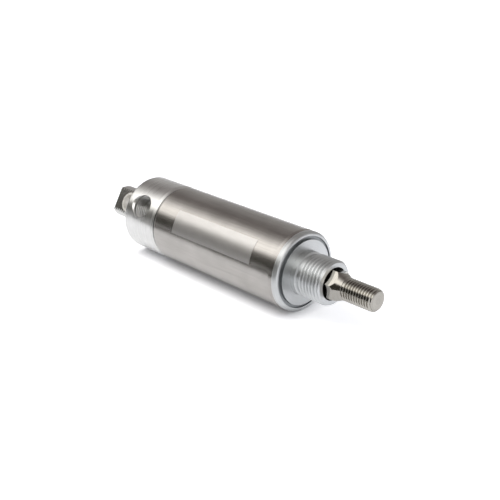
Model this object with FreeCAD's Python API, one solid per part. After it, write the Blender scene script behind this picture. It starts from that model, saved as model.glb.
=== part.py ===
"""Round-body pneumatic cylinder, single acting, pushed back by its own spring.

Millimetres. The cylinder's axis is X and the rod comes out towards +X. Z is up.
The origin is on the axis, in the mounting face that the threaded nose stands on.
The part is drawn with the rod drawn in, which is where its spring holds it.
"""
import FreeCAD, Part
import math
import os

os.makedirs("parts", exist_ok=True)

INCH = 25.4
Vector = FreeCAD.Vector
ORIGIN = Vector(0, 0, 0)
AXIS = Vector(1, 0, 0)

# Tube
bore_diameter = 1.0625 * INCH
tube_wall = 0.73
lip_length = 1.6
lip_drop = 0.6

# Stack along the axis, front to rear, which sets the tube's length
flange_thickness = 2.4
front_plug_length = 10.0
stop_tube_length = 9.1
front_bumper_thickness = 1.5
stroke = 1.0 * INCH
piston_length = 9.0
rear_bumper_proud = 1.0
rear_plug_length = 7.0
rear_head_length = 16.9
stud_length = 18.7
rest_gap = 0.3

# Threaded nose and mounting face of the front cap
nose_thread_diameter = 0.625 * INCH
nose_length = 0.5 * INCH
nose_chamfer = 0.7
nose_neck_start = 2.4
nose_neck_width = 0.9
nose_neck_depth = 0.7
nose_lip_length = 2.3
face_diameter = 23.2
face_groove_width = 1.2
face_groove_depth = 1.1
rim_drop = 0.5
flange_edge_radius = 1.2

# Hexagonal rod with a round threaded end
rod_across_flats = 0.375 * INCH
rod_corner_clock = 72.5
rod_hex_proud = 2.3
rod_cone_length = 3.0
rod_thread_diameter = 0.3125 * INCH
rod_thread_length = 13.0
rod_end_chamfer = 0.9
spigot_diameter = 0.25 * INCH
spigot_inset = 0.5

# Hexagonal bushing, its wiper and its retaining ring
bushing_wall = 0.8
bushing_flange_width = 2.1
bushing_flange_thickness = 1.2
wiper_length = 2.8
retainer_thickness = 1.0
retainer_width = 1.5
retainer_seat_depth = 0.6
retainer_edge = 0.5
retainer_gap_angle = 40.0

# Rear cap: port, threaded stud with two flats, pivot hole
port_clock = 57.0
tang_clock = 60.0
port_from_rear_face = 8.3
port_drill_diameter = 8.8
port_mouth_diameter = 10.2
port_floor_height = 5.6
air_passage_diameter = 5.0
rear_edge_radius = 0.7
seam_chamfer = 0.9
stud_diameter = 0.5 * INCH
stud_chamfer = 0.35
tang_thickness = 0.3125 * INCH
tang_length = 12.6
tang_cutter_radius = 5.0
pivot_from_end = 7.4
pivot_pin_diameter = 0.252 * INCH
pivot_bushing_wall = 0.8

# Piston, its seals and its nut
piston_side_clearance = 0.25
piston_chamfer = 0.4
seal_groove_width = 3.4
seal_groove_depth = 3.0
seal_lip_depth = 1.6
seal_lip_thickness = 0.7
seal_from_rear = 1.3
wear_ring_width = 2.0
wear_ring_thickness = 1.2
wear_ring_from_front = 1.2
nut_across_flats = 0.4375 * INCH
nut_height = 3.6
nut_corner_chamfer = 0.5
lock_washer_thickness = 1.2
lock_washer_width = 2.3
nut_pocket_clearance = 0.7

# Return spring and what it bears on
spring_wire_diameter = 1.3
spring_coils = 6
spring_side_clearance = 1.2
spring_seat_thickness = 1.0
stop_tube_wall = 0.8
seat_margin = 0.7

# O-rings and bumpers
oring_section = 1.6
oring_room = 0.04
oring_groove_play = 0.4
front_oring_from_flange = 4.5
rear_oring_from_head = 3.2
plug_chamfer = 0.5
small_oring_section = 1.36
small_oring_from_front = 0.8
rear_bumper_thickness = 2.0
rear_bumper_width = 5.5
rear_bumper_hole_margin = 1.2
front_bumper_margin = 0.3
bumper_edge_radius = 0.3

# Vent in the tube wall and the foil label
vent_diameter = 1.6
vent_from_plug = 1.6
vent_clock = 240.0
label_front = 13.4
label_length = 40.8
label_low_angle = 12.0
label_arc = 36.0
label_thickness = 0.1

# Named clearances
plug_clearance = 0.04
press_clearance = 0.01
running_clearance = 0.05
rod_clearance = 0.05
stop_tube_clearance = 0.7
groove_clearance = 0.05

# Radii
bore = bore_diameter / 2
tube_outside = bore + tube_wall
plug = bore - plug_clearance
nose_thread = nose_thread_diameter / 2
rod_thread = rod_thread_diameter / 2
rod_corner = rod_across_flats / math.sqrt(3)
spigot = spigot_diameter / 2
nose_lip = rod_corner + rest_gap
bushing_seat = rod_corner + bushing_wall + press_clearance
bushing_flange_seat = bushing_seat + bushing_flange_width
stud = stud_diameter / 2
face = face_diameter / 2
stop_tube_inside = rod_corner + stop_tube_clearance
stop_tube_outside = stop_tube_inside + stop_tube_wall
spring_radius = stop_tube_outside + spring_side_clearance + spring_wire_diameter / 2
seat_outside = spring_radius + spring_wire_diameter / 2 + seat_margin
nut_pocket = nut_across_flats / math.sqrt(3) + nut_pocket_clearance
pivot_hole = pivot_pin_diameter / 2 + pivot_bushing_wall
rear_bumper_inside = air_passage_diameter / 2 + rear_bumper_hole_margin
rear_bumper_outside = rear_bumper_inside + rear_bumper_width
oring_floor = bore - oring_section - oring_room
wear_ring_floor = bore - running_clearance - wear_ring_thickness
small_oring_seat = spigot + small_oring_section + oring_room

# Stations along X
nose_front = nose_length
tube_front = -flange_thickness
front_plug_end = tube_front - front_plug_length
stop_tube_end = front_plug_end - stop_tube_length
front_bumper_end = stop_tube_end - front_bumper_thickness
piston_front = front_bumper_end - rest_gap - stroke
piston_rear = piston_front - piston_length
rear_bumper_front = piston_rear - rest_gap
rear_plug_end = rear_bumper_front - rear_bumper_proud
tube_rear = rear_plug_end - rear_plug_length
rear_face = tube_rear - rear_head_length
stud_end = rear_face - stud_length
port_station = rear_face + port_from_rear_face
pivot_station = stud_end + pivot_from_end
rod_hex_front = nose_front + rod_hex_proud
rod_cone_front = rod_hex_front + rod_cone_length
rod_end = rod_cone_front + rod_thread_length
wiper_front = nose_front - nose_lip_length
bushing_front = wiper_front - wiper_length
retainer_rear = front_plug_end + retainer_edge
retainer_front = retainer_rear + retainer_thickness
bushing_flange_front = retainer_front + bushing_flange_thickness
nut_pocket_floor = piston_rear + spigot_inset + nut_height + lock_washer_thickness
seat_front = piston_front + spring_seat_thickness
spring_front = front_plug_end - spring_seat_thickness
front_oring_station = tube_front - front_oring_from_flange
rear_oring_station = tube_rear + rear_oring_from_head
small_oring_width = small_oring_section + oring_groove_play
small_oring_station = piston_front - small_oring_from_front - small_oring_width / 2
seal_rear = piston_rear + seal_from_rear
wear_ring_rear = piston_front - wear_ring_from_front - wear_ring_width


def turned(outline):
    """A solid turned about X from an outline of (x, radius) points."""
    corners = [Vector(x, 0, radius) for x, radius in outline]
    section = Part.Face(Part.makePolygon(corners + corners[:1]))
    return section.revolve(ORIGIN, AXIS, 360)


def rod_shape(radius, rear, front):
    return Part.makeCylinder(radius, front - rear, Vector(rear, 0, 0), AXIS)


def ring(outside, inside, rear, front):
    return rod_shape(outside, rear, front).cut(rod_shape(inside, rear, front))


def drill(radius, station, bottom, top):
    """A round cutter or boss that stands square to the axis, along Z."""
    return Part.makeCylinder(radius, top - bottom, Vector(station, 0, bottom), Vector(0, 0, 1))


def hexagon(across_flats, rear, front):
    """A hexagonal bar along X with one pair of corners on the Z axis."""
    corner = across_flats / math.sqrt(3)
    angles = [math.radians(60 * side) for side in range(7)]
    points = [Vector(rear, corner * math.sin(a), corner * math.cos(a)) for a in angles]
    return Part.Face(Part.makePolygon(points)).extrude(Vector(front - rear, 0, 0))


def clocked(shape, angle):
    """Turns a piece about X: what was made pointing up leans towards -Y."""
    turned_piece = shape.copy()
    turned_piece.rotate(ORIGIN, AXIS, angle)
    return turned_piece


def circle_edges(shape, station, radius):
    """The round edges about X that lie at one station and radius."""
    found = []
    for edge in shape.Edges:
        curve = edge.Curve
        if not isinstance(curve, Part.Circle):
            continue
        beside = abs(curve.Center.x - station) < 0.01
        same = abs(curve.Radius - radius) < 0.01
        if beside and same and abs(abs(curve.Axis.x) - 1) < 0.001:
            found.append(edge)
    return found


def rounded(shape, size, station, radius):
    return shape.makeFillet(size, circle_edges(shape, station, radius))


def oring(section, outside, inside, station):
    """An O-ring midway between the two round walls that it seals."""
    middle = (outside + inside) / 2
    return Part.makeTorus(middle, section / 2, Vector(station, 0, 0), AXIS)


def cylinder_tube():
    """Stainless tube whose two ends are rolled in over the caps, with a vent."""
    tube = turned([
        (tube_front, tube_outside - lip_drop),
        (tube_front - lip_length, tube_outside),
        (tube_rear + lip_length, tube_outside),
        (tube_rear, tube_outside - lip_drop),
        (tube_rear, bore - lip_drop),
        (tube_rear + lip_length, bore),
        (tube_front - lip_length, bore),
        (tube_front, bore - lip_drop),
    ])
    vent_station = front_plug_end - spring_seat_thickness - vent_from_plug
    vent = drill(vent_diameter / 2, vent_station, bore - 1, tube_outside + 1)
    return tube.cut(clocked(vent, vent_clock))


def plug_oring_groove(station):
    half_width = (oring_section + oring_groove_play) / 2
    return ring(bore, oring_floor, station - half_width, station + half_width)


def front_cap():
    """Turned nose, mounting face with a groove round it, flange and the plug inside the tube."""
    neck_end = nose_neck_start + nose_neck_width
    neck_floor = nose_thread - nose_neck_depth
    neck_slope = nose_neck_depth / 2
    groove_outside = face + face_groove_width
    cap = turned([
        (nose_front, nose_lip),
        (nose_front, nose_thread - nose_chamfer),
        (nose_front - nose_chamfer, nose_thread),
        (neck_end + neck_slope, nose_thread),
        (neck_end, neck_floor),
        (nose_neck_start, neck_floor),
        (nose_neck_start - neck_slope, nose_thread),
        (0, nose_thread),
        (0, face),
        (-face_groove_depth, face),
        (-face_groove_depth, groove_outside),
        (-rim_drop, groove_outside),
        (-rim_drop, tube_outside),
        (tube_front, tube_outside),
        (tube_front, plug - lip_drop),
        (tube_front - lip_length, plug),
        (front_plug_end + plug_chamfer, plug),
        (front_plug_end, plug - plug_chamfer),
        (front_plug_end, bushing_flange_seat),
        (bushing_flange_front, bushing_flange_seat),
        (bushing_flange_front, bushing_seat),
        (wiper_front, bushing_seat),
        (wiper_front, nose_lip),
    ])
    cap = rounded(cap, flange_edge_radius, -rim_drop, tube_outside)
    cap = cap.cut(plug_oring_groove(front_oring_station))
    retainer_seat = bushing_flange_seat + retainer_seat_depth
    return cap.cut(ring(retainer_seat, bushing_seat, retainer_rear, retainer_front))


def rod_hole(rear, front):
    """The hexagonal hole that guides the rod and keeps it from turning."""
    return clocked(hexagon(rod_across_flats + 2 * rod_clearance, rear, front), rod_corner_clock)


def rod_bushing():
    """Flanged bronze bushing, pressed in from inside the cap."""
    sleeve = rod_shape(bushing_seat - press_clearance, retainer_front, bushing_front)
    flange_radius = bushing_flange_seat - groove_clearance
    flange = rod_shape(flange_radius, retainer_front, bushing_flange_front)
    return sleeve.fuse(flange).cut(rod_hole(retainer_front, bushing_front)).removeSplitter()


def rod_wiper():
    wiper = rod_shape(bushing_seat - press_clearance, bushing_front, wiper_front)
    return wiper.cut(rod_hole(bushing_front, wiper_front))


def bushing_retainer():
    """Open internal retaining ring behind the bushing's flange."""
    outside = bushing_flange_seat + retainer_seat_depth - groove_clearance
    inside = outside - retainer_width - retainer_seat_depth
    circlip = ring(outside, inside, retainer_rear, retainer_front)
    opening = Part.makeCylinder(
        outside + 1, retainer_thickness, Vector(retainer_rear, 0, 0), AXIS, retainer_gap_angle)
    return circlip.cut(opening)


def stop_tube():
    """Spacer that ends the stroke, guides the spring and seats its front end."""
    tube = ring(stop_tube_outside, stop_tube_inside, stop_tube_end, front_plug_end)
    flange = ring(seat_outside, stop_tube_inside, spring_front, front_plug_end)
    return tube.fuse(flange).removeSplitter()


def front_bumper():
    bumper = ring(
        stop_tube_outside + front_bumper_margin, stop_tube_inside,
        front_bumper_end, stop_tube_end)
    return rounded(
        bumper, bumper_edge_radius, front_bumper_end, stop_tube_outside + front_bumper_margin)


def spring_centre_line():
    """Helix whose first and last turns lie flat on their seats."""
    steps_per_turn = 12
    half_wire = spring_wire_diameter / 2
    start = seat_front + half_wire
    end = spring_front - half_wire
    open_turns = spring_coils - 2
    pitch = (end - start - 2 * spring_wire_diameter) / open_turns
    points = []
    for step in range(spring_coils * steps_per_turn + 1):
        turn = step / steps_per_turn
        flat_turns = min(turn, 1) + max(turn - spring_coils + 1, 0)
        x = start + flat_turns * spring_wire_diameter + (turn - flat_turns) * pitch
        angle = 2 * math.pi * turn
        points.append(Vector(x, spring_radius * math.sin(angle), spring_radius * math.cos(angle)))
    line = Part.BSplineCurve()
    line.interpolate(points)
    return line


def return_spring():
    line = spring_centre_line()
    start = line.value(line.FirstParameter)
    direction = line.tangent(line.FirstParameter)[0]
    section = Part.Wire(Part.Circle(start, direction, spring_wire_diameter / 2).toShape())
    return Part.Wire(line.toShape()).makePipeShell([section], True, True)


def spring_seat():
    """Flat washer between the spring and the piston."""
    inside = stop_tube_outside + front_bumper_margin + rest_gap
    return ring(seat_outside, inside, piston_front, seat_front)


def piston():
    """Aluminium piston with its seal and wear ring grooves and a pocket for the nut."""
    outside = bore - piston_side_clearance
    body = rod_shape(outside, piston_rear, piston_front)
    body = body.makeChamfer(piston_chamfer, circle_edges(body, piston_rear, outside))
    body = body.cut(rod_shape(nut_pocket, piston_rear, nut_pocket_floor))
    body = body.cut(rod_shape(spigot + press_clearance, piston_rear, piston_front))
    body = body.cut(ring(
        bore, bore - seal_groove_depth, seal_rear, seal_rear + seal_groove_width))
    body = body.cut(ring(
        bore, wear_ring_floor, wear_ring_rear, wear_ring_rear + wear_ring_width))
    return body.cut(ring(
        small_oring_seat, spigot, small_oring_station - small_oring_width / 2,
        small_oring_station + small_oring_width / 2))


def piston_seal():
    """U-cup seal: its two lips open towards the pressure side at the rear."""
    outside = bore - running_clearance
    inside = bore - seal_groove_depth + press_clearance
    rear = seal_rear + groove_clearance
    front = seal_rear + seal_groove_width - groove_clearance
    middle = (outside + inside) / 2
    return turned([
        (rear, outside),
        (front, outside),
        (front, inside),
        (rear, inside),
        (rear, inside + seal_lip_thickness),
        (rear + seal_lip_depth, middle),
        (rear, outside - seal_lip_thickness),
    ])


def piston_wear_ring():
    return ring(
        bore - running_clearance, wear_ring_floor + press_clearance,
        wear_ring_rear + groove_clearance, wear_ring_rear + wear_ring_width - groove_clearance)


def rod_to_piston_oring():
    return oring(small_oring_section, small_oring_seat, spigot, small_oring_station)


def lock_washer():
    rear = nut_pocket_floor - lock_washer_thickness
    return ring(spigot + lock_washer_width, spigot + press_clearance, rear, nut_pocket_floor)


def piston_nut():
    rear = nut_pocket_floor - lock_washer_thickness - nut_height
    front = rear + nut_height
    corner = nut_across_flats / math.sqrt(3)
    chamfered = turned([
        (rear, 0),
        (rear, nut_across_flats / 2),
        (rear + nut_corner_chamfer, corner),
        (front, corner),
        (front, 0),
    ])
    nut = hexagon(nut_across_flats, rear, front).common(chamfered)
    return nut.cut(rod_shape(spigot + press_clearance, rear, front))


def piston_rod():
    """Hexagonal bar, coned down to a round thread; a spigot carries the piston."""
    bar = clocked(hexagon(rod_across_flats, piston_front, rod_cone_front), rod_corner_clock)
    cone = turned([
        (piston_front, 0),
        (piston_front, rod_corner + 1),
        (rod_hex_front, rod_corner + 1),
        (rod_hex_front, rod_corner),
        (rod_cone_front, rod_thread),
        (rod_cone_front, 0),
    ])
    thread = turned([
        (rod_cone_front, 0),
        (rod_cone_front, rod_thread),
        (rod_end - rod_end_chamfer, rod_thread),
        (rod_end, rod_thread - rod_end_chamfer),
        (rod_end, 0),
    ])
    tail = rod_shape(spigot, piston_rear + spigot_inset, piston_front)
    return bar.common(cone).fuse([thread, tail]).removeSplitter()


def tang_cutter():
    """What the milling cutter takes off one side of the stud, run-out included."""
    flat = tang_thickness / 2
    run_out = stud_end + tang_length - tang_cutter_radius
    depth = tang_cutter_radius * 2
    slab = Part.makeBox(
        run_out - stud_end + 1, stud_diameter * 2, depth,
        Vector(stud_end - 1, -stud_diameter, flat))
    cutter = Part.makeCylinder(
        tang_cutter_radius, stud_diameter * 2,
        Vector(run_out, -stud_diameter, flat + tang_cutter_radius), Vector(0, 1, 0))
    return slab.fuse(cutter)


def port_cutter():
    """The port's drilled hole, its countersunk mouth and the air passage below it."""
    mouth_depth = (port_mouth_diameter - port_drill_diameter) / 2
    above = 1.0
    hole = drill(port_drill_diameter / 2, port_station, port_floor_height, tube_outside)
    mouth = Part.makeCone(
        port_drill_diameter / 2, port_mouth_diameter / 2 + above, mouth_depth + above,
        Vector(port_station, 0, tube_outside - mouth_depth), Vector(0, 0, 1))
    passage = drill(air_passage_diameter / 2, port_station, 0, tube_outside)
    return hole.fuse([mouth, passage])


def rear_cap():
    """Turned plug and head with a side port and a flatted, drilled stud."""
    cap = turned([
        (rear_plug_end, 0),
        (rear_plug_end, plug - plug_chamfer),
        (rear_plug_end - plug_chamfer, plug),
        (tube_rear + lip_length, plug),
        (tube_rear, plug - lip_drop),
        (tube_rear, tube_outside - seam_chamfer),
        (tube_rear - seam_chamfer, tube_outside),
        (rear_face, tube_outside),
        (rear_face, stud),
        (stud_end + stud_chamfer, stud),
        (stud_end, stud - stud_chamfer),
        (stud_end, 0),
    ])
    cap = rounded(cap, rear_edge_radius, rear_face, tube_outside)
    cap = cap.cut(plug_oring_groove(rear_oring_station))
    bumper_floor = rear_bumper_front - rear_bumper_thickness
    cap = cap.cut(rod_shape(rear_bumper_outside, bumper_floor, rear_plug_end))
    cap = cap.cut(rod_shape(air_passage_diameter / 2, port_station, rear_plug_end))
    cap = cap.cut(clocked(port_cutter(), port_clock - tang_clock))
    cutter = tang_cutter()
    cap = cap.cut([cutter, cutter.mirror(ORIGIN, Vector(0, 0, 1))])
    cap = cap.cut(drill(pivot_hole, pivot_station, -stud, stud))
    return clocked(cap, tang_clock)


def pivot_bushing():
    flat = tang_thickness / 2
    sleeve = drill(pivot_hole - press_clearance, pivot_station, -flat, flat)
    sleeve = sleeve.cut(drill(pivot_pin_diameter / 2, pivot_station, -flat, flat))
    return clocked(sleeve, tang_clock)


def rear_bumper():
    outside = rear_bumper_outside - groove_clearance
    rear = rear_bumper_front - rear_bumper_thickness
    bumper = ring(outside, rear_bumper_inside, rear, rear_bumper_front)
    return rounded(bumper, bumper_edge_radius, rear_bumper_front, outside)


def label():
    """Foil strip on the tube, on the side where the port faces."""
    front = -label_front
    inside = Vector(front, 0, tube_outside)
    outside = Vector(front, 0, tube_outside + label_thickness)
    back = Vector(-label_length, 0, 0)
    corners = [inside, outside, outside + back, inside + back, inside]
    strip = Part.Face(Part.makePolygon(corners)).revolve(ORIGIN, AXIS, label_arc)
    return clocked(strip, 90 - label_low_angle - label_arc)


nodes = {
    "cylinder_tube": cylinder_tube(),
    "front_cap": front_cap(),
    "front_cap_oring": oring(oring_section, bore, oring_floor, front_oring_station),
    "rod_bushing": rod_bushing(),
    "rod_wiper": rod_wiper(),
    "bushing_retainer": bushing_retainer(),
    "stop_tube": stop_tube(),
    "front_bumper": front_bumper(),
    "return_spring": return_spring(),
    "spring_seat": spring_seat(),
    "piston": piston(),
    "piston_seal": piston_seal(),
    "piston_wear_ring": piston_wear_ring(),
    "rod_to_piston_oring": rod_to_piston_oring(),
    "lock_washer": lock_washer(),
    "piston_nut": piston_nut(),
    "piston_rod": piston_rod(),
    "rear_cap": rear_cap(),
    "rear_cap_oring": oring(oring_section, bore, oring_floor, rear_oring_station),
    "rear_bumper": rear_bumper(),
    "pivot_bushing": pivot_bushing(),
    "label": label(),
}

for name, shape in nodes.items():
    shape.exportStep("parts/" + name + ".step")
    box = shape.BoundBox
    print(name, "solids", len(shape.Solids), "valid", shape.isValid(),
          "volume", round(shape.Volume, 1), "x", round(box.XMin, 2), round(box.XMax, 2))
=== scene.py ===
import bmesh
import bpy
import math
from mathutils import Matrix, Vector


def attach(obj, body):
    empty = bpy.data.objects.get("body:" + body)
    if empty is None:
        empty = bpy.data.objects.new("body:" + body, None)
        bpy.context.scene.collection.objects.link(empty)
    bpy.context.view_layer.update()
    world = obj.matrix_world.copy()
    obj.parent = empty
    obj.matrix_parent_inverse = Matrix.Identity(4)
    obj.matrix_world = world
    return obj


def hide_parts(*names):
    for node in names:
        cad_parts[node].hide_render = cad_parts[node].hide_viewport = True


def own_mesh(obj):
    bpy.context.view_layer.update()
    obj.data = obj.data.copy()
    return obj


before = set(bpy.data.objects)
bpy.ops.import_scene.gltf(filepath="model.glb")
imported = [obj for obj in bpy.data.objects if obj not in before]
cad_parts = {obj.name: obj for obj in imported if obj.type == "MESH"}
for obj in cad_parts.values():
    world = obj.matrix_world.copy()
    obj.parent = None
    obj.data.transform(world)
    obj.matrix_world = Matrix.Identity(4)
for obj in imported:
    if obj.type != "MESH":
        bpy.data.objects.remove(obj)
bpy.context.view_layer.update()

# A round-body air cylinder as seen: real threads where the solids are plain, metals and a studio

MM = 0.001
TURN = 2 * math.pi
AXIS = Vector((1, 0, 0))
ORIGIN = Vector((0, 0, 0))

# Lengths are in millimetres, and a station is a place along X.
# A thread has a crest and a root radius and a pitch. Its strip is the threaded sleeve that takes
# the place of a plain surface, and a slope is the height it wins per millimetre of length.
NOSE_THREAD = {"crest": 7.93, "root": 7.2, "pitch": 25.4 / 18}
NOSE_NECK_END = 3.3
NOSE_STRIP_FROM = 3.65
NOSE_END = 12.7
NOSE_STRIP_TO = NOSE_END - 0.1
NOSE_PLAIN_START = 0.35
NOSE_START_SLOPE = 1.1
NOSE_RUN_OUT_SLOPE = 1.6

# The groove round the mounting face, which gets painted shade, lies between these two radii; its
# floor lies deeper than this
FACE_EDGE = 11.6
RIM_INSIDE = 12.8
GROOVE_FLOOR_BELOW = -0.3

ROD_THREAD = {"crest": 3.96, "root": 3.34, "pitch": 25.4 / 24}
ROD_CONE_END = 18.0
ROD_STRIP_FROM = ROD_CONE_END + 0.05
ROD_END = 31.0
ROD_END_ROUNDING = 1.3
ROD_RUN_OUT_SLOPE = 0.9
ROD_RUN_OUT_LAND = 0.1
END_FACE_MARGIN = 0.3

STUD_THREAD = {"crest": 6.34, "root": 5.56, "pitch": 25.4 / 20}
STUD_RADIUS = 6.37
STUD_END = -101.6
STUD_START_HEIGHT = 0.4
STUD_START_SLOPE = 1.5
STUD_RUN_OUT_LAND = 1.2
STUD_RUN_OUT_SLOPE = 0.9
REAR_FACE = -82.9
STUD_STRIP_TO = REAR_FACE - 0.1

TANG_CLOCK = math.radians(60)
TANG_HALF = 3.96875
TANG_LENGTH = 12.6
MILL_RADIUS = 5
PIVOT_STATION = -94.2
PIVOT_HOLE = 4.0004

PORT_THREAD = {"crest": 4.4, "root": 4.98, "pitch": 25.4 / 27}
PORT_STATION = -74.6
PORT_CLOCK = math.radians(57)
PORT_STRIP_FROM = 7.4
PORT_STRIP_TO = 12.9
PORT_CUT_FROM = PORT_STRIP_FROM - 0.4
PORT_CUT_TO = PORT_STRIP_TO + 0.2
PORT_RUN_OUT_SLOPE = 1.4

# The painted shade in the seam at the tube's rear end is darkest up to one station and clear from
# the next
TUBE_REAR = -66.0
SEAM_SHADE_DARKEST_TO = TUBE_REAR + 0.35
SEAM_SHADE_CLEAR_FROM = TUBE_REAR + 1.1
SEAM_SHADE_LIGHT_LEFT = 0.08

# Vertices closer than this are one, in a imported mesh, along a thread and after a cut
SAME_PLACE = 0.0005 * MM
SAME_THREAD_PLACE = 0.002 * MM
SAME_CUT_PLACE = 0.0001 * MM

# Edges that turn by more than this are sharp; the finer one is for the rod's cone
CREASE_DEGREES = 26
FINE_CREASE_DEGREES = 9


# Mesh helpers
def merged_copy(node):
    """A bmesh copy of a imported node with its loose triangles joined."""
    bm = bmesh.new()
    bm.from_mesh(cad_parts[node].data)
    bmesh.ops.remove_doubles(bm, verts=bm.verts, dist=SAME_PLACE)
    return bm


def new_object(name, bm):
    """A scene object made from a bmesh, which is used up."""
    mesh = bpy.data.meshes.new(name)
    bm.to_mesh(mesh)
    bm.free()
    item = bpy.data.objects.new(name, mesh)
    bpy.context.scene.collection.objects.link(item)
    return item


def add_mesh(bm, other):
    """Adds another bmesh's faces to the first and uses the other up."""
    mesh = bpy.data.meshes.new("part")
    other.to_mesh(mesh)
    other.free()
    bm.from_mesh(mesh)
    bpy.data.meshes.remove(mesh)


def station(vertex):
    """Place along the cylinder's axis, in millimetres."""
    return vertex.co.x / MM


def across(vertex):
    """Distance from the cylinder's axis, in millimetres."""
    return math.hypot(vertex.co.y, vertex.co.z) / MM


def near(value, target, room=0.02):
    """Whether a value is within some room of its target."""
    return abs(value - target) < room


def at_station(target, room=0.02):
    """A test that is true for the vertices at one station."""
    return lambda vertex: near(station(vertex), target, room)


def new_verts(made):
    """The vertices among what an operator made."""
    return [item for item in made["geom"] if isinstance(item, bmesh.types.BMVert)]


def thread_profile(thread):
    """One pitch of thread as places along it and radii: straight flanks and a rounded crest."""
    flank = (
        (0.12, 0), (0.19, 0.23), (0.26, 0.46), (0.33, 0.69), (0.38, 0.86), (0.42, 0.94),
        (0.46, 0.985))
    mirrored = [(1 - along, height) for along, height in reversed(flank)]
    rise = thread["crest"] - thread["root"]
    return [
        (along * thread["pitch"], thread["root"] + rise * height)
        for along, height in [(0, 0), *flank, (0.5, 1), *mirrored, (1, 0)]]


def thread_strip(thread, rear, front, limits, steps=48):
    """An open threaded sleeve about X.

    One pitch of profile is wound once and repeated, then the sleeve is cut to length.
    For a station, limits gives the least and the greatest radius there.
    """
    pitch = thread["pitch"]
    bm = bmesh.new()
    verts = [
        bm.verts.new(Vector((rear - 1.5 * pitch + along, 0, radius)) * MM)
        for along, radius in thread_profile(thread)]
    edges = [bm.edges.new(pair) for pair in zip(verts, verts[1:])]
    bmesh.ops.spin(
        bm, geom=verts + edges, cent=ORIGIN, axis=AXIS, dvec=Vector((pitch * MM / steps, 0, 0)),
        angle=TURN, steps=steps)
    first_turn = bm.verts[:] + bm.edges[:] + bm.faces[:]
    for turn in range(1, math.ceil((front - rear) / pitch) + 2):
        next_turn = new_verts(bmesh.ops.duplicate(bm, geom=first_turn))
        bmesh.ops.translate(bm, verts=next_turn, vec=Vector((turn * pitch * MM, 0, 0)))
    bmesh.ops.remove_doubles(bm, verts=bm.verts, dist=SAME_THREAD_PLACE)
    for end, inner in ((rear, True), (front, False)):
        bmesh.ops.bisect_plane(
            bm, geom=bm.verts[:] + bm.edges[:] + bm.faces[:], dist=SAME_PLACE,
            plane_co=Vector((end, 0, 0)) * MM, plane_no=AXIS, clear_inner=inner,
            clear_outer=not inner)
    for vertex in bm.verts:
        low, high = limits(station(vertex))
        radius = across(vertex)
        held = min(max(radius, low), high) / radius
        vertex.co.y *= held
        vertex.co.z *= held
    return bm


def open_loop(bm, test):
    """The open edges whose two ends both pass a test."""
    return [edge for edge in bm.edges if edge.is_boundary and all(test(v) for v in edge.verts)]


def bridge(bm, *tests):
    """Joins two open rings, each picked by its test."""
    rings = [open_loop(bm, test) for test in tests]
    bmesh.ops.bridge_loops(bm, edges=rings[0] + rings[1])


def crease_edges(bm, degrees, test=lambda vertex: True):
    """Marks the edges that turn by more than this as sharp, where both ends pass a test."""
    for edge in bm.edges:
        if all(test(v) for v in edge.verts):
            edge.smooth = edge.calc_face_angle(math.pi) < math.radians(degrees)


def finish_piece(bm, name, body, nodes, materials, fine_crease=None):
    """Turns a bmesh into a named piece that rides on a body and stands for its nodes."""
    bmesh.ops.recalc_face_normals(bm, faces=bm.faces)
    for face in bm.faces:
        face.smooth = True
    crease_edges(bm, CREASE_DEGREES)
    if fine_crease:
        crease_edges(bm, FINE_CREASE_DEGREES, fine_crease)
    piece = new_object(name, bm)
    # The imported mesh's own normals no longer fit the changed one
    if "custom_normal" in piece.data.attributes:
        piece.data.attributes.remove(piece.data.attributes["custom_normal"])
    for material in materials:
        piece.data.materials.append(material)
    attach(piece, body)
    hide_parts(*nodes)
    return piece


# Material helpers
def linear(colour):
    """An sRGB hex colour as linear red, green, blue and alpha."""
    parts = [int(colour[place:place + 2], 16) / 255 for place in (1, 3, 5)]
    curved = [p / 12.92 if p <= 0.04045 else ((p + 0.055) / 1.055) ** 2.4 for p in parts]
    return (*curved, 1.0)


def add(tree, kind, settings=(), **sockets):
    """Adds a node. Settings are its own values; sockets take a value or another node's output.

    A socket goes by its name, or by its number, as i0, i1 and so on.
    """
    made = tree.nodes.new(kind)
    for name, value in dict(settings).items():
        setattr(made, name, value)
    for name, value in sockets.items():
        numbered = name[0] == "i" and name[1:].isdigit()
        socket = made.inputs[int(name[1:]) if numbered else name.replace("_", " ")]
        if isinstance(value, bpy.types.NodeSocket):
            tree.links.new(value, socket)
        else:
            socket.default_value = value
    return made


def calculated(tree, operation, first, second=0.0):
    """The result of a math node."""
    return add(tree, "ShaderNodeMath", {"operation": operation}, i0=first, i1=second).outputs[0]


def remap(tree, value, low, high, to_low, to_high):
    """A value stretched from one range to another and held inside it."""
    return add(
        tree, "ShaderNodeMapRange", Value=value, i1=low, i2=high, i3=to_low, i4=to_high).outputs[0]


def noise(tree, place, grain_mm, detail, **more):
    """Noise with grains of about this size."""
    return add(
        tree, "ShaderNodeTexNoise", Vector=place, Scale=1 / (grain_mm * MM), Detail=detail,
        **more).outputs[0]


def two_tones(tree, pattern, dark, light, low=0.0, high=1.0):
    """A colour that goes from dark to light while the pattern goes from low to high."""
    tone = add(tree, "ShaderNodeValToRGB", Fac=pattern)
    for element, position, colour in zip(tone.color_ramp.elements, (low, high), (dark, light)):
        element.position = position
        element.color = linear(colour)
    return tone.outputs[0]


def object_place(tree, scale=(1, 1, 1)):
    """Object coordinates, stretched so that a pattern runs one way."""
    where = add(tree, "ShaderNodeTexCoord")
    return add(tree, "ShaderNodeMapping", Vector=where.outputs["Object"], Scale=scale).outputs[0]


def object_axes(tree):
    """Object coordinates as three values."""
    where = add(tree, "ShaderNodeTexCoord")
    return add(tree, "ShaderNodeSeparateXYZ", i0=where.outputs["Object"]).outputs


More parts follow.
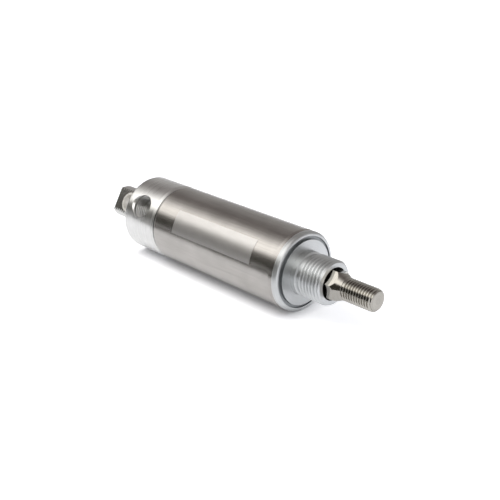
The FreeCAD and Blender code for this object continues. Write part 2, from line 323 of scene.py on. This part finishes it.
def lathe_place(tree):
    """Coordinates along the axis and out from it, so that noise becomes lines round the axis."""
    x, y, z = object_axes(tree)
    squares = [calculated(tree, "MULTIPLY", value, value) for value in (y, z)]
    radius = calculated(tree, "SQRT", calculated(tree, "ADD", *squares))
    return add(tree, "ShaderNodeCombineXYZ", i0=x, i1=radius, i2=0.0).outputs[0]


def new_material(name):
    """A material with an empty node tree, and the tree."""
    material = bpy.data.materials.new(name)
    material.use_nodes = True
    material.node_tree.nodes.clear()
    return material, material.node_tree


def show(tree, shader, kind="ShaderNodeOutputMaterial"):
    """Puts a shader on the tree's output."""
    tree.links.new(shader.outputs[0], add(tree, kind).inputs["Surface"])


def grained_surface(tree, tone, grain, rough, smoother, strength, bump_mm, **more):
    """A surface whose gloss and relief follow the grain."""
    gloss = remap(tree, grain, 0.3, 0.7, smoother, rough)
    relief = add(
        tree, "ShaderNodeBump", Height=grain, Strength=strength, Distance=bump_mm * MM).outputs[0]
    show(tree, add(
        tree, "ShaderNodeBsdfPrincipled", Base_Color=tone, Roughness=gloss, Normal=relief, **more))


def metal(name, dark, light, rough, smoother, grain_mm, bump_mm, lathe=False, stretch=(1, 1, 1)):
    """A metal whose colour and gloss vary a little along its tool marks."""
    material, tree = new_material(name)
    place = lathe_place(tree) if lathe else object_place(tree, stretch)
    marks = noise(tree, place, grain_mm, 3.0, Roughness=0.6)
    clouds = noise(tree, object_place(tree), 9, 2.0)
    tone = two_tones(tree, calculated(tree, "MULTIPLY", marks, clouds), dark, light, 0.12, 0.4)
    grained_surface(tree, tone, marks, rough, smoother, 0.6, bump_mm, Metallic=1.0)
    return material


def moulded(name, dark, light, rough, smoother, grain_mm, bump_mm):
    """Rubber or plastic out of a mould: even colour, a soft skin with fine grain."""
    material, tree = new_material(name)
    grain = noise(tree, object_place(tree), grain_mm, 4.0)
    tone = two_tones(tree, grain, dark, light, 0.35, 0.65)
    grained_surface(tree, tone, grain, rough, smoother, 0.5, bump_mm)
    return material


def paint_seam_shade(material):
    """Paints shade into a metal's colour where it dips into the seam beside a cap."""
    tree = material.node_tree
    shader = next(node for node in tree.nodes if node.type == "BSDF_PRINCIPLED")
    tone = shader.inputs["Base Color"].links[0].from_socket
    share = remap(
        tree, object_axes(tree)[0], SEAM_SHADE_DARKEST_TO * MM, SEAM_SHADE_CLEAR_FROM * MM, SEAM_SHADE_LIGHT_LEFT, 1.0)
    shaded = add(tree, "ShaderNodeVectorMath", {"operation": "SCALE"}, i0=tone, Scale=share)
    tree.links.new(shaded.outputs[0], shader.inputs["Base Color"])


def silvery_film():
    """Silvery polyester film: a pale base with a clear glossy face over it."""
    material, tree = new_material("polyester_film_silver")
    clouds = noise(tree, object_place(tree, (0.3, 1, 1)), 2, 3.0)
    tone = two_tones(tree, clouds, "#B4B1AE", "#C6C4C1")
    relief = add(
        tree, "ShaderNodeBump", Height=clouds, Strength=0.3, Distance=0.003 * MM).outputs[0]
    show(tree, add(
        tree, "ShaderNodeBsdfPrincipled", Base_Color=tone, Metallic=0.85, Roughness=0.36,
        Coat_Weight=0.5, Coat_Roughness=0.2, Normal=relief))
    return material


# Materials: name, dark and light tone, greatest and least roughness, grain and relief in mm

# Stainless steel tube, drawn and polished along its length: long faint streaks and soft bands of
# light, with painted shade that darkens its colour where its end is rolled in over the rear cap
tube_steel = metal(
    "stainless_steel_drawn", "#9F9C98", "#B0ADA9", 0.27, 0.22, 0.35, 0.0015,
    stretch=(0.02, 1, 1))
# Painted shade: the tube's colour darkens into the seam beside the rear cap
paint_seam_shade(tube_steel)
# Aluminium of the front cap, turned and left satin: fine rings round the axis, cool grey
turned_aluminium = metal(
    "aluminium_satin_turned", "#B9BBBB", "#CDCFD0", 0.42, 0.34, 0.3, 0.003, lathe=True)
# The same aluminium, rougher, in the groove round the mounting face: its darker colour is painted
# shade for the groove
groove_shaded_aluminium = metal(
    "aluminium_rough_groove_painted_shade", "#8E9193", "#A4A7A9", 0.55, 0.45, 0.3, 0.004, lathe=True)
# Aluminium of the rear cap, turned brighter: clear rings of light round the axis
bright_aluminium = metal(
    "aluminium_bright_turned", "#CBCBC9", "#DBDBD9", 0.32, 0.26, 0.3, 0.002, lathe=True)
# Aluminium of the tang's flats, milled smooth: it mirrors the dark side of the room
milled_aluminium = metal(
    "aluminium_bright_milled", "#C2C2C0", "#D2D2D0", 0.16, 0.1, 0.25, 0.0005,
    stretch=(1, 0.1, 0.1))
# Stainless steel rod, ground and then threaded: warm and sharp in its reflections
rod_steel = metal(
    "stainless_steel_ground", "#96938D", "#ACA9A2", 0.17, 0.11, 0.4, 0.0015, lathe=True)
# Sintered bronze of the rod's bushing: brown, grainy and a little oily
bushing_bronze = metal("bronze_sintered", "#8A6A3E", "#A9854F", 0.5, 0.36, 0.15, 0.008)
# Bronze of the pivot bushing, turned and worn: pale and softly bright
pale_bronze = metal("bronze_turned_pale", "#E6E4DF", "#F2F0EC", 0.56, 0.46, 0.15, 0.002)
# Aluminium of the piston, machined: cool grey with rings round the axis
piston_aluminium = metal(
    "aluminium_machined", "#B4B6B8", "#CFD0D2", 0.33, 0.24, 0.3, 0.003, lathe=True)
# Spring wire, drawn and oiled: dark grey with a dull gloss
spring_steel = metal("spring_steel_drawn", "#6A6866", "#8B8986", 0.38, 0.28, 0.25, 0.003)
# Zinc plated steel: pale, cool and slightly blue
zinc_steel = metal("steel_zinc_plated", "#9FA4A8", "#BCC1C5", 0.36, 0.26, 0.5, 0.003)
# Nitrile rubber, moulded: nearly black with a matt skin
nitrile = moulded("nitrile_rubber_moulded", "#151515", "#201F1F", 0.62, 0.5, 0.2, 0.01)
# Urethane, moulded: amber with a satin skin
urethane = moulded("urethane_moulded", "#B98A3C", "#C99A4B", 0.5, 0.38, 0.4, 0.008)
# Acetal, turned: off-white and satin
acetal = moulded("acetal_turned", "#DAD9D3", "#E6E5E0", 0.42, 0.34, 0.3, 0.006)

NODE_FINISHES = {
    "cylinder_tube": tube_steel,
    "front_cap_oring": nitrile,
    "rod_bushing": bushing_bronze,
    "rod_wiper": nitrile,
    "bushing_retainer": zinc_steel,
    "stop_tube": piston_aluminium,
    "front_bumper": urethane,
    "spring_seat": zinc_steel,
    "piston": piston_aluminium,
    "piston_seal": nitrile,
    "piston_wear_ring": acetal,
    "rod_to_piston_oring": nitrile,
    "lock_washer": zinc_steel,
    "piston_nut": zinc_steel,
    "rear_cap_oring": nitrile,
    "rear_bumper": urethane,
    "pivot_bushing": pale_bronze,
    "label": silvery_film(),
}
for node, finish in NODE_FINISHES.items():
    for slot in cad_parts[node].material_slots:
        slot.material = finish


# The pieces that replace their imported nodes
def front_cap():
    """The cap with its nose thread cut: a neck by the face, sharp crests, a chamfered start."""
    bm = merged_copy("front_cap")
    outer = [
        face for face in bm.faces
        if all(NOSE_NECK_END - 0.05 < station(v) < NOSE_END + 0.1
               and across(v) > NOSE_THREAD["root"] - 0.1 for v in face.verts)]
    bmesh.ops.delete(bm, geom=outer, context="FACES")
    # Painted shade: the groove's floor and walls take the darker aluminium
    for face in bm.faces:
        in_groove = all(
            FACE_EDGE - 0.1 < across(v) < RIM_INSIDE + 0.1 and station(v) < 0.1
            for v in face.verts)
        is_floor = face.calc_center_median().x / MM < GROOVE_FLOOR_BELOW
        is_wall = abs(face.normal.x) < 0.5
        if in_groove and (is_floor or is_wall):
            face.material_index = 1

    def limits(x):
        lead = (NOSE_END - x) * NOSE_START_SLOPE
        run_out = (x - NOSE_STRIP_FROM) * NOSE_RUN_OUT_SLOPE
        high = NOSE_THREAD["root"] + max(min(lead, run_out), 0)
        return (high if x > NOSE_END - NOSE_PLAIN_START else 0), high

    add_mesh(bm, thread_strip(NOSE_THREAD, NOSE_STRIP_FROM, NOSE_STRIP_TO, limits))
    bridge(bm, at_station(NOSE_NECK_END, 0.1), at_station(NOSE_STRIP_FROM))
    bridge(bm, at_station(NOSE_STRIP_TO), at_station(NOSE_END))
    return finish_piece(
        bm, "threaded_front_cap", "barrel", ["front_cap"],
        [turned_aluminium, groove_shaded_aluminium])


def piston_rod():
    """The hexagonal rod with its end thread cut, run out towards the cone, and a rounded end."""
    bm = merged_copy("piston_rod")
    outer = [
        face for face in bm.faces if all(station(v) > ROD_CONE_END - 0.02 for v in face.verts)]
    bmesh.ops.delete(bm, geom=outer, context="FACES")

    def limits(x):
        depth = max(x - ROD_CONE_END - ROD_RUN_OUT_LAND, 0) * ROD_RUN_OUT_SLOPE
        inside = max(ROD_END_ROUNDING - (ROD_END - x), 0)
        rounded = math.sqrt(max(ROD_END_ROUNDING ** 2 - inside ** 2, 0)) - ROD_END_ROUNDING
        return ROD_THREAD["crest"] - depth, ROD_THREAD["crest"] + rounded

    add_mesh(bm, thread_strip(ROD_THREAD, ROD_STRIP_FROM, ROD_END, limits))
    bridge(bm, at_station(ROD_CONE_END), at_station(ROD_STRIP_FROM))
    end = open_loop(bm, at_station(ROD_END))
    made = bmesh.ops.contextual_create(bm, geom=end)["faces"]
    bmesh.ops.inset_region(bm, faces=made, thickness=END_FACE_MARGIN * MM, depth=0.0)
    return finish_piece(
        bm, "threaded_piston_rod", "rod_assembly", ["piston_rod"], [rod_steel],
        fine_crease=lambda vertex: station(vertex) < ROD_CONE_END + 0.01)


def threaded_stud():
    """The stud as a closed solid with its thread cut from end to shoulder."""
    def limits(x):
        lead = STUD_START_HEIGHT + (x - STUD_END) * STUD_START_SLOPE
        depth = max(REAR_FACE - STUD_RUN_OUT_LAND - x, 0) * STUD_RUN_OUT_SLOPE
        return (
            STUD_THREAD["crest"] - depth, min(STUD_THREAD["root"] + lead, STUD_THREAD["crest"]))

    bm = thread_strip(STUD_THREAD, STUD_END, STUD_STRIP_TO, limits)
    for end in (STUD_END, STUD_STRIP_TO):
        bmesh.ops.contextual_create(bm, geom=open_loop(bm, at_station(end)))
    bmesh.ops.recalc_face_normals(bm, faces=bm.faces)
    return bm


def tang_cutters():
    """What the mill takes off both sides, with its round corner, and the pivot hole's drill."""
    bm = bmesh.new()
    past_end = STUD_END - 2
    run_out = STUD_END + TANG_LENGTH - MILL_RADIUS
    half_width = 9
    arc = [math.radians(k * 7.5) for k in range(1, 13)]
    outline = [(past_end, TANG_HALF), (run_out, TANG_HALF)]
    outline += [
        (run_out + MILL_RADIUS * math.sin(a), TANG_HALF + MILL_RADIUS - MILL_RADIUS * math.cos(a))
        for a in arc]
    outline += [(past_end, TANG_HALF + MILL_RADIUS)]
    for side in (1, -1):
        verts = [bm.verts.new(Vector((x, -half_width, side * z)) * MM) for x, z in outline]
        face = bm.faces.new(verts)
        grown = new_verts(bmesh.ops.extrude_face_region(bm, geom=[face]))
        bmesh.ops.translate(bm, verts=grown, vec=Vector((0, 2 * half_width * MM, 0)))
    bmesh.ops.create_cone(
        bm, cap_ends=True, segments=48, radius1=PIVOT_HOLE * MM, radius2=PIVOT_HOLE * MM,
        depth=20 * MM, matrix=Matrix.Translation(Vector((PIVOT_STATION, 0, 0)) * MM))
    bmesh.ops.recalc_face_normals(bm, faces=bm.faces)
    return bm


def cut_away(bm, cutter):
    """The first solid less the second; both are used up."""
    pieces = [new_object(name, source) for name, source in (("solid", bm), ("cutter", cutter))]
    change = pieces[0].modifiers.new("cut", "BOOLEAN")
    change.object = pieces[1]
    change.operation = "DIFFERENCE"
    change.solver = "EXACT"
    change.use_self = True
    bpy.context.view_layer.update()
    result = bmesh.new()
    result.from_object(pieces[0], bpy.context.evaluated_depsgraph_get())
    for piece in pieces:
        bpy.data.objects.remove(piece)
    return result


def milled_stud():
    """The stud with its tang and pivot hole cut, open where it meets the cap's rear face."""
    stud = cut_away(threaded_stud(), tang_cutters())
    at_lid = at_station(STUD_STRIP_TO)
    lid = [face for face in stud.faces if all(at_lid(v) for v in face.verts)]
    bmesh.ops.delete(stud, geom=lid, context="FACES")
    # The cut leaves doubled corners, and flats with more corners than an export can part cleanly
    bmesh.ops.dissolve_degenerate(stud, dist=SAME_CUT_PLACE, edges=stud.edges)
    many_sided = [face for face in stud.faces if len(face.verts) > 4]
    bmesh.ops.triangulate(stud, faces=many_sided, ngon_method="BEAUTY")
    for face in stud.faces:
        if all(near(abs(v.co.z / MM), TANG_HALF, 0.01) for v in face.verts):
            face.material_index = 1
    bmesh.ops.rotate(
        stud, verts=stud.verts, cent=ORIGIN, matrix=Matrix.Rotation(TANG_CLOCK, 3, "X"))
    return stud


def port_thread():
    """The port's pipe thread, made along X, then stood on its own station."""
    def limits(x):
        depth = max(min(x - PORT_STRIP_FROM, PORT_STRIP_TO - x), 0) * PORT_RUN_OUT_SLOPE
        return PORT_THREAD["crest"], PORT_THREAD["crest"] + depth

    bm = thread_strip(PORT_THREAD, PORT_STRIP_FROM, PORT_STRIP_TO, limits)
    bmesh.ops.rotate(bm, verts=bm.verts, cent=ORIGIN, matrix=Matrix.Rotation(-TURN / 4, 3, "Y"))
    bmesh.ops.translate(bm, verts=bm.verts, vec=Vector((PORT_STATION, 0, 0)) * MM)
    return bm


def rear_cap():
    """The cap's head from the model, with a threaded stud and a threaded port let into it."""
    bm = merged_copy("rear_cap")
    upright = Matrix.Rotation(-PORT_CLOCK, 3, "X")
    bmesh.ops.rotate(bm, verts=bm.verts, cent=ORIGIN, matrix=upright)

    def at_wall(vertex):
        beside = math.hypot(station(vertex) - PORT_STATION, vertex.co.y / MM)
        return near(beside, PORT_THREAD["crest"], 0.05)

    def at_port(height):
        return lambda vertex: at_wall(vertex) and near(vertex.co.z / MM, height)

    for height in (PORT_CUT_FROM, PORT_CUT_TO):
        wall = [face for face in bm.faces if all(at_wall(v) for v in face.verts)]
        edges = {edge for face in wall for edge in face.edges}
        verts = {vertex for face in wall for vertex in face.verts}
        bmesh.ops.bisect_plane(
            bm, geom=wall + list(edges) + list(verts), dist=SAME_PLACE,
            plane_co=Vector((0, 0, height)) * MM, plane_no=Vector((0, 0, 1)))

    def on_stud(vertex):
        return across(vertex) < STUD_RADIUS and station(vertex) < REAR_FACE + 0.01

    def on_thread(vertex):
        return at_wall(vertex) and PORT_CUT_FROM - 0.01 < vertex.co.z / MM < PORT_CUT_TO + 0.01

    gone = [
        face for face in bm.faces
        if all(on_stud(v) for v in face.verts) or all(on_thread(v) for v in face.verts)]
    bmesh.ops.delete(bm, geom=gone, context="FACES")
    add_mesh(bm, port_thread())
    bridge(bm, at_port(PORT_CUT_FROM), at_port(PORT_STRIP_FROM))
    bridge(bm, at_port(PORT_CUT_TO), at_port(PORT_STRIP_TO))
    bmesh.ops.rotate(bm, verts=bm.verts, cent=ORIGIN, matrix=upright.inverted())
    add_mesh(bm, milled_stud())
    bridge(bm, at_station(STUD_STRIP_TO), at_station(REAR_FACE))
    return finish_piece(
        bm, "threaded_rear_cap", "barrel", ["rear_cap"],
        [bright_aluminium, milled_aluminium])


def return_spring():
    """The spring as its own mesh, so that it can close up when the rod comes out."""
    bm = merged_copy("return_spring")
    return finish_piece(
        bm, "wound_return_spring", "barrel", ["return_spring"], [spring_steel])


front_cap()
piston_rod()
rear_cap()
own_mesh(return_spring())


# Studio: a paper floor, a tent and cards that only gloss sees, two lamps and a white world
# The floor lies just under the tube
FLOOR_HEIGHT = -14.23
FLOOR_REACH = 3000
FLOOR_SHADE_WIDTH = 5
# The floor's own glow near the object and far off, between these distances
FLOOR_GLOW = (0.5, 0.95)
FLOOR_GLOW_FROM, FLOOR_GLOW_TO = 300, 1100
FLOOR_CAMERA_GAIN = 1.1

# Angle above the front horizon, brightness there (1 is white) and tint
TENT_TONES = (
    (-9, 0.09, "#FFFAE8"), (8, 0.07, "#FFFAE6"), (22, 0.08, "#FFF8E8"), (31, 0.12, "#FFFAF0"),
    (37, 1.2, "#FFFCF8"), (44, 2.4, "#FFFDFA"), (62, 2.4, "#FFFDFA"), (71, 1.75, "#FFFDFB"),
    (84, 0.86, "#FFFBF9"), (97, 0.36, "#FFF7F4"), (110, 0.25, "#FFF2F0"), (130, 0.37, "#FFF9F7"),
    (150, 0.5, "#FFFBF9"), (170, 0.5, "#FFFDFC"), (189, 0.58, "#FFFFFF"))
TENT_BRIGHTEST = 2.4
TENT_START, TENT_END = TENT_TONES[0][0], TENT_TONES[-1][0]
TENT_RADIUS = 900
TENT_REAR, TENT_FRONT = -4000, 2000
LOW_CARD_Y = -75
LOW_CARD_REAR, LOW_CARD_FRONT = -600, 200
END_CARD_STATION = -1400


def camera_only(tree, shown, lit):
    """Mixes what the eye, gloss and glass see with what lights the object."""
    rays = add(tree, "ShaderNodeLightPath").outputs
    seen = calculated(tree, "MAXIMUM", rays["Is Camera Ray"], rays["Is Glossy Ray"])
    seen = calculated(tree, "MAXIMUM", seen, rays["Is Transmission Ray"])
    return add(tree, "ShaderNodeMixShader", Fac=seen, i1=lit, i2=shown)


def studio_floor():
    """A pale paper floor whose own glow leaves only a close, soft shadow."""
    bm = bmesh.new()
    bmesh.ops.create_grid(bm, x_segments=8, y_segments=8, size=FLOOR_REACH * MM)
    bmesh.ops.translate(bm, verts=bm.verts, vec=Vector((0, 0, FLOOR_HEIGHT * MM)))
    floor = new_object("studio_floor", bm)
    material, tree = new_material("paper_white")
    paper = noise(tree, object_place(tree), 3, 2.0)
    grain = add(tree, "ShaderNodeBump", Height=paper, Strength=0.1, Distance=0.02 * MM)
    matt = add(
        tree, "ShaderNodeBsdfDiffuse", Color=linear("#F4F4F6"), Normal=grain.outputs[0])
    covered = add(
        tree, "ShaderNodeAmbientOcclusion", {"samples": 8}, Distance=FLOOR_SHADE_WIDTH * MM)
    away = add(tree, "ShaderNodeVectorMath", {"operation": "LENGTH"}, i0=object_place(tree))
    level = remap(
        tree, away.outputs["Value"], FLOOR_GLOW_FROM * MM, FLOOR_GLOW_TO * MM, *FLOOR_GLOW)
    rays = add(tree, "ShaderNodeLightPath").outputs
    gain = remap(tree, rays["Is Camera Ray"], 0.0, 1.0, 1.0, FLOOR_CAMERA_GAIN)
    strength = calculated(
        tree, "MULTIPLY", covered.outputs["AO"], calculated(tree, "MULTIPLY", gain, level))
    glow = add(tree, "ShaderNodeEmission", Color=linear("#FFFFFF"), Strength=strength)
    both = add(tree, "ShaderNodeAddShader", i0=matt.outputs[0], i1=glow.outputs[0])
    show(tree, camera_only(tree, both.outputs[0], matt.outputs[0]))
    floor.data.materials.append(material)


def striped_cloth():
    """Cloth in soft stripes by the angle above the front horizon."""
    material, tree = new_material("studio_cloth_striped")
    y, z = object_axes(tree)[1:]
    angle = calculated(tree, "ARCTAN2", z, calculated(tree, "MULTIPLY", y, -1.0))
    share = remap(tree, angle, math.radians(TENT_START), math.radians(TENT_END), 0.0, 1.0)
    stripes = add(tree, "ShaderNodeValToRGB", Fac=share)
    ramp = stripes.color_ramp
    while len(ramp.elements) < len(TENT_TONES):
        ramp.elements.new(0.5)
    for element, (degrees, tone, tint) in zip(ramp.elements, TENT_TONES):
        element.position = (degrees - TENT_START) / (TENT_END - TENT_START)
        element.color = (*[tone / TENT_BRIGHTEST * part for part in linear(tint)[:3]], 1)
    show(tree, add(
        tree, "ShaderNodeEmission", Color=stripes.outputs[0], Strength=TENT_BRIGHTEST))
    return material


def dark_cloth():
    """Nearly black cloth, for the card that closes the tent's rear end."""
    material, tree = new_material("studio_cloth_dark")
    show(tree, add(tree, "ShaderNodeEmission", Color=linear("#FFFAE8"), Strength=0.05))
    return material


def reflection_tent():
    """What only gloss sees: a long half-round tent, a low card before it and one at its end."""
    reach = TENT_RADIUS * MM
    start = math.radians(TENT_START)
    sweep = math.radians(TENT_END - TENT_START)
    tent = bmesh.new()
    verts = [
        tent.verts.new(Vector((x * MM, -reach * math.cos(start), reach * math.sin(start))))
        for x in (TENT_REAR, TENT_FRONT)]
    edge = tent.edges.new(verts)
    bmesh.ops.spin(tent, geom=verts + [edge], cent=ORIGIN, axis=AXIS, angle=-sweep, steps=66)
    low_card = bmesh.new()
    low_card.faces.new([
        low_card.verts.new(Vector((x, LOW_CARD_Y, z)) * MM)
        for x, z in (
            (LOW_CARD_REAR, FLOOR_HEIGHT), (LOW_CARD_FRONT, FLOOR_HEIGHT), (LOW_CARD_FRONT, 0),
            (LOW_CARD_REAR, 0))])
    end_card = bmesh.new()
    bmesh.ops.create_circle(
        end_card, cap_ends=True, segments=48, radius=reach,
        matrix=Matrix.Translation(Vector((END_CARD_STATION * MM, 0, 0)))
        @ Matrix.Rotation(TURN / 4, 4, "Y"))
    striped, dark = striped_cloth(), dark_cloth()
    for name, bm, cloth in (
            ("studio_tent", tent, striped), ("studio_low_card", low_card, striped),
            ("studio_end_card", end_card, dark)):
        item = new_object(name, bm)
        item.data.materials.append(cloth)
        item.visible_camera = False
        item.visible_diffuse = False
        item.visible_shadow = False
        item.visible_transmission = False
        item.visible_volume_scatter = False


def lamp(name, place, target, size, watts, colour):
    """A round softbox that faces a target and doesn't show in gloss."""
    light = bpy.data.lights.new(name, "AREA")
    light.shape = "DISK"
    light.size = size
    light.energy = watts
    light.color = linear(colour)[:3]
    item = bpy.data.objects.new(name, light)
    bpy.context.scene.collection.objects.link(item)
    item.location = place
    item.rotation_mode = "QUATERNION"
    item.rotation_quaternion = (Vector(target) - Vector(place)).to_track_quat("-Z", "Y")
    item.visible_glossy = False


studio_floor()
reflection_tent()
middle = Vector((-0.035, 0, 0))
lamp("key_softbox", (-0.25, -0.35, 0.75), middle, 0.5, 2.9, "#FFFDFA")
lamp("fill_softbox", (0.6, 0.4, 0.8), middle, 0.7, 1.35, "#F8FAFF")

# The world is white to the eye and dimmer as a light
world = bpy.data.worlds.new("studio_white")
world.use_nodes = True
bpy.context.scene.world = world
tree = world.node_tree
tree.nodes.clear()
white = add(tree, "ShaderNodeBackground", Color=linear("#FFFFFF"), Strength=1.0)
dim = add(tree, "ShaderNodeBackground", Color=linear("#F8F9FF"), Strength=0.52)
show(tree, camera_only(tree, white.outputs[0], dim.outputs[0]), "ShaderNodeOutputWorld")

# The camera as fitted to the photo: its place in metres, and the turn and lift of its view
camera_data = bpy.data.cameras.new("camera")
camera_data.lens = 64.8
camera_data.sensor_width = 36
camera_data.clip_start = 0.01
camera_data.clip_end = 20
camera = bpy.data.objects.new("camera", camera_data)
bpy.context.scene.collection.objects.link(camera)
bpy.context.scene.camera = camera
turn, lift = math.radians(46.11), math.radians(22.60)
back = Vector((math.sin(turn) * math.cos(lift), -math.cos(turn) * math.cos(lift), math.sin(lift)))
camera.location = (0.1871, -0.2062, 0.1239)
camera.rotation_mode = "QUATERNION"
camera.rotation_quaternion = (-back).to_track_quat("-Z", "Y")

bpy.context.scene.view_settings.view_transform = "Standard"
